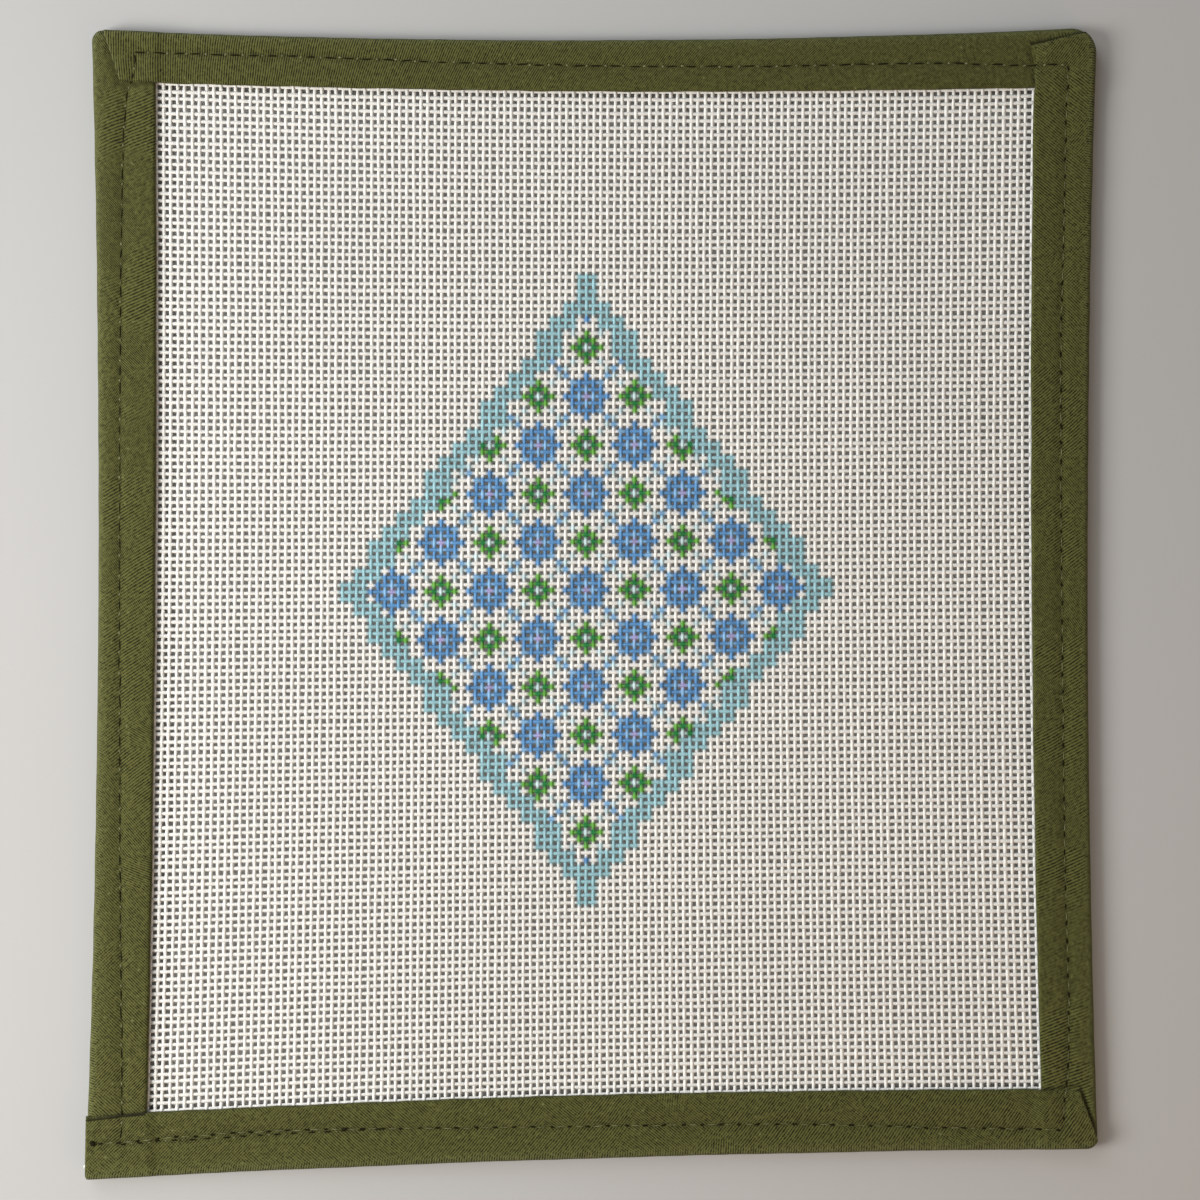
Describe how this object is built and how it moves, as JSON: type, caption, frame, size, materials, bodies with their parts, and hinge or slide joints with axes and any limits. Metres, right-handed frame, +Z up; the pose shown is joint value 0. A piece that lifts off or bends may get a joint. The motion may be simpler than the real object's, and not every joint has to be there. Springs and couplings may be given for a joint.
{
  "type": "needlepoint canvas panel",
  "caption": "Flat rectangular panel of open-mesh needlepoint canvas with a painted design, bound all round with folded cloth tape.",
  "frame": {"origin": "on the surface that the panel lies on, under the middle of its outline", "axes": "+Z up out of the painted face, +Y up the painted design, +X to its right"},
  "size_m": [0.2026, 0.2304, 0.0036],
  "materials": {
    "canvas_white": "stiff white cotton mesh, plain woven, matt, hand painted on its face",
    "binding_olive": "matt olive green cotton bias tape",
    "thread_olive": "dark olive sewing thread"
  },
  "bodies": {
    "root": {"canvas": "canvas_white", "binding": "binding_olive"}
  },
  "joints": []
}
